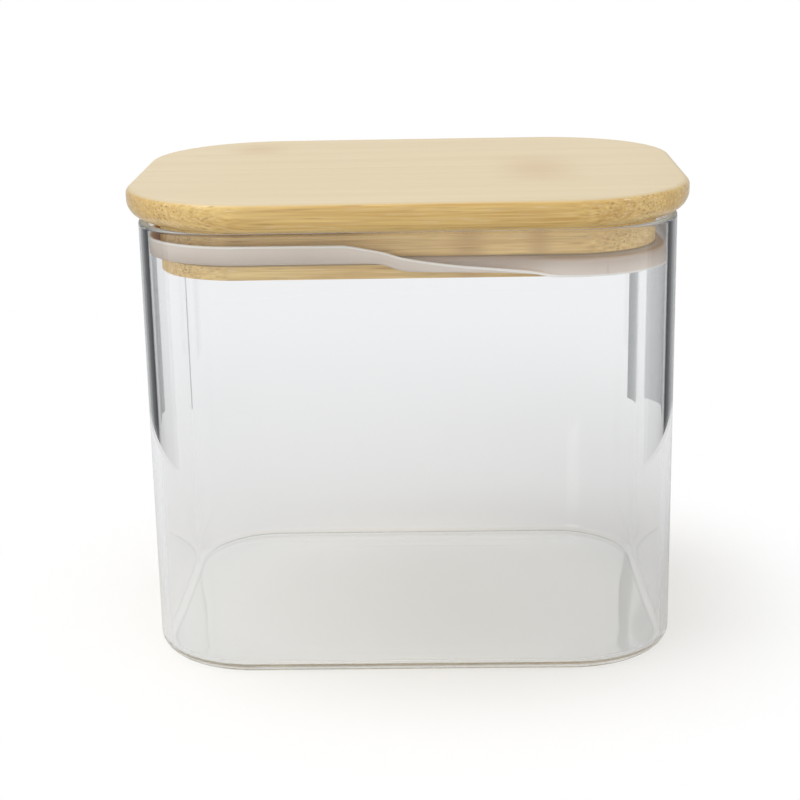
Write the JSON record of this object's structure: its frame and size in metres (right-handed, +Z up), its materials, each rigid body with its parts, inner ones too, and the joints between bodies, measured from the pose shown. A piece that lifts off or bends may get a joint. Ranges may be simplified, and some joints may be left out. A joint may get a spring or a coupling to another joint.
{
  "type": "airtight glass storage jar",
  "caption": "Oblong clear glass storage jar with rounded corners and a lift-off bamboo lid, whose plug carries a silicone sealing ring.",
  "frame": {"origin": "middle of the base, on the surface that the jar stands on", "axes": "+Z up, X along the jar's long side, the front with the visible roll of the sealing lip faces -Y"},
  "size_m": [0.151, 0.1162, 0.1294],
  "materials": {
    "glass": "clear, polished",
    "cover_bamboo": "sanded, thin matt oil",
    "plug_bamboo": "sanded, thin matt oil",
    "silicone": "translucent, satin"
  },
  "bodies": {
    "jar": {"glass_body": "glass"},
    "lid": {"cover_lath_1": "cover_bamboo", "cover_lath_2": "cover_bamboo", "cover_lath_3": "cover_bamboo", "cover_lath_4": "cover_bamboo", "plug_lath_1": "plug_bamboo", "plug_lath_2": "plug_bamboo", "plug_lath_3": "plug_bamboo", "seal_ring": "silicone"}
  },
  "joints": [
    {"name": "lid_lift", "type": "slide", "parent": "jar", "child": "lid", "axis": [0, 0, 1], "range_m": [0, 0.06]}
  ]
}
